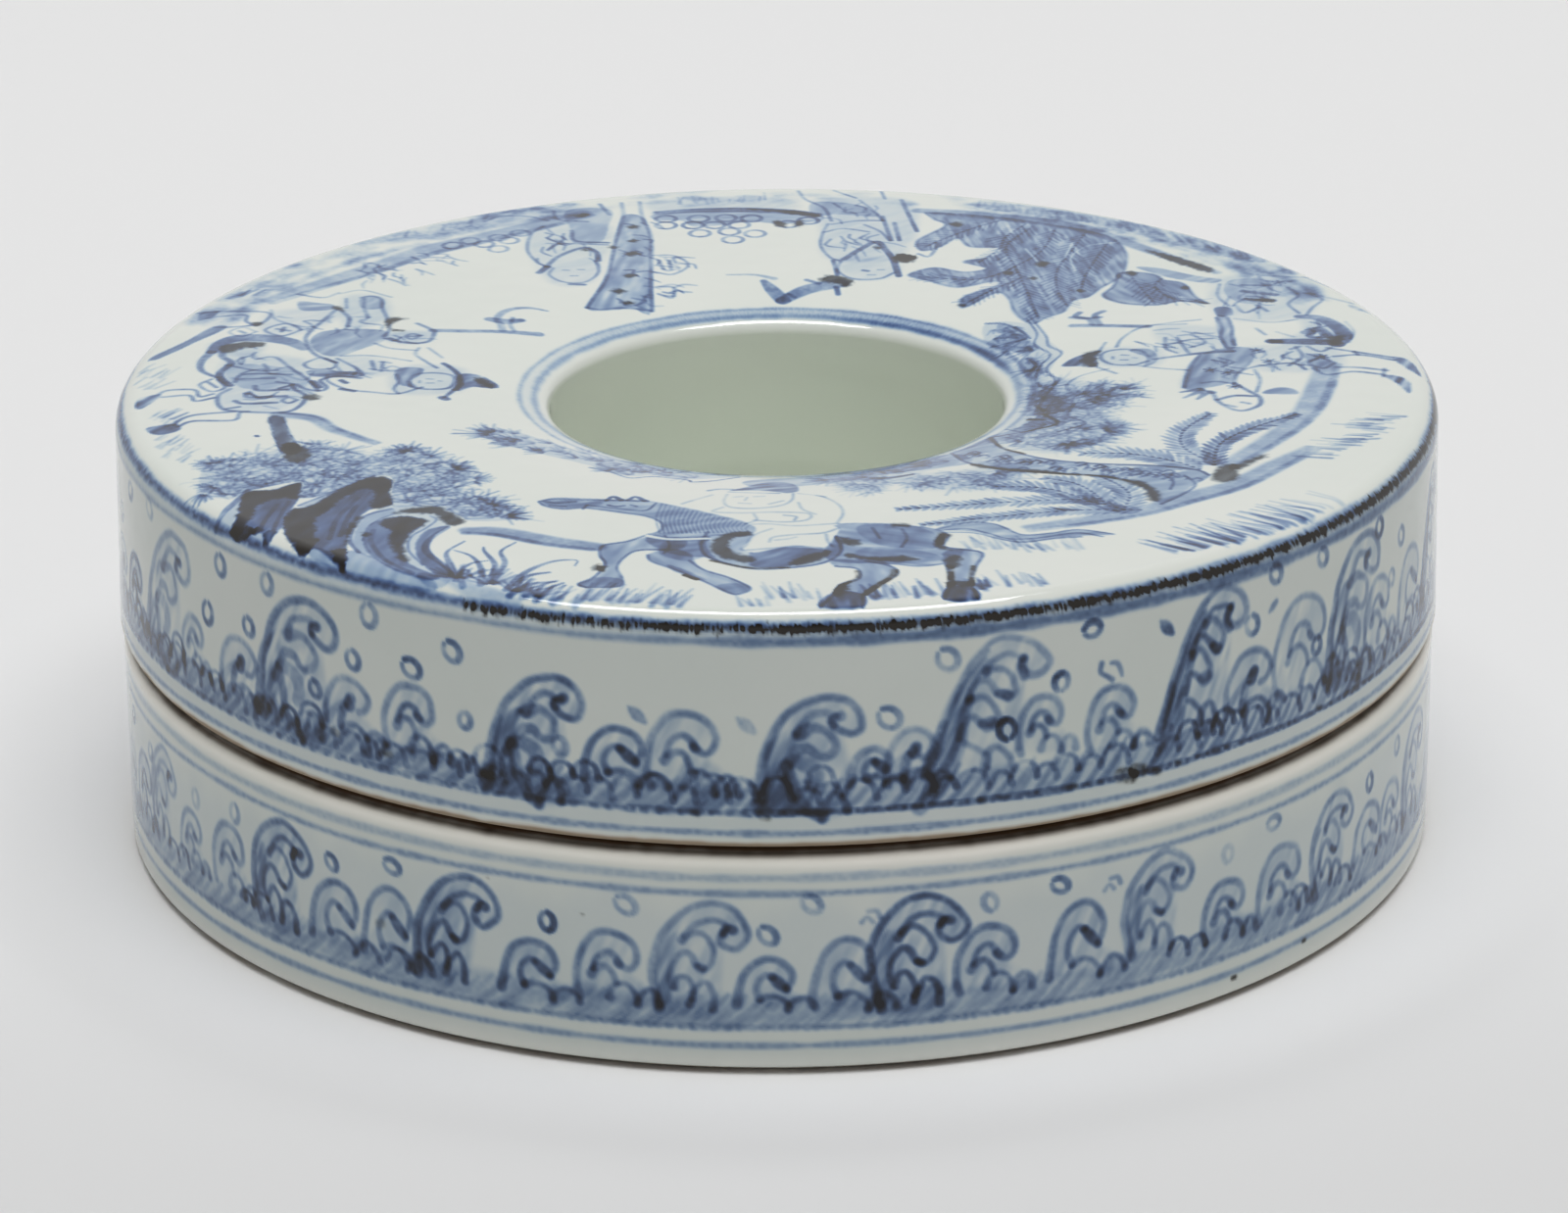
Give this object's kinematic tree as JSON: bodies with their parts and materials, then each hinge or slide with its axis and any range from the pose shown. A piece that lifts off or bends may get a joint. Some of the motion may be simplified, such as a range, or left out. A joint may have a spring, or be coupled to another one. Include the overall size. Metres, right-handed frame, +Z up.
{
  "type": "ring-shaped porcelain box",
  "caption": "Flat ring-shaped porcelain box with a lift-off lid that drops over lips on the base, round an open centre hole; holds a necklace or beads.",
  "frame": {"origin": "centre of the underside, on the surface that the foot rings stand on", "axes": "+Z up along the axis of the ring and its hole; -Y towards the side that the picture shows in front"},
  "size_m": [0.21, 0.21, 0.072],
  "materials": {
    "glazed_porcelain": "glossy pale blue-grey glaze over underglaze cobalt painting, with bare buff biscuit on the rims and foot rings"
  },
  "bodies": {
    "base": {"base": "glazed_porcelain"},
    "lid": {"lid": "glazed_porcelain"}
  },
  "joints": [
    {"name": "lid_lift", "type": "slide", "parent": "base", "child": "lid", "axis": [0, 0, 1], "range_m": [0, 0.1]}
  ]
}
